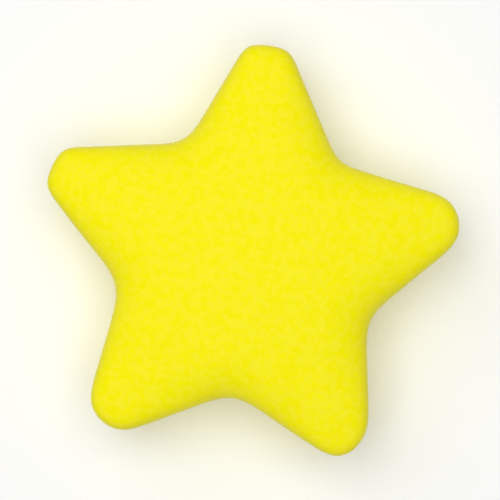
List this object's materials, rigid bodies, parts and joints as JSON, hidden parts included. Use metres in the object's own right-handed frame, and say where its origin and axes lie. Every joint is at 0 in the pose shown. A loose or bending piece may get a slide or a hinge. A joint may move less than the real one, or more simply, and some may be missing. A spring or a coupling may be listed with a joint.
{
  "type": "squeezable foam star",
  "caption": "Thick soft foam star with blunt rounded arms, a softly domed front, rounded rims and a flat back, in a plain bright yellow coat.",
  "frame": {"origin": "centre of the star on its flat back, where its five-fold axis meets the surface that it lies on", "axes": "+Z along the five-fold axis, out of the domed front; +Y along one arm; +X to the right, seen from the front with that arm up"},
  "size_m": [0.0799, 0.0765, 0.031],
  "materials": {
    "yellow_coat": "matte sprayed flexible polyurethane colour coat, bright yellow",
    "foam_skin": "dense matte integral skin of moulded polyurethane foam, pale yellow",
    "foam_core": "open-celled flexible polyurethane foam, cream"
  },
  "bodies": {
    "root": {"colour_coat": "yellow_coat", "moulded_skin": "foam_skin", "foam_core": "foam_core"}
  },
  "joints": []
}
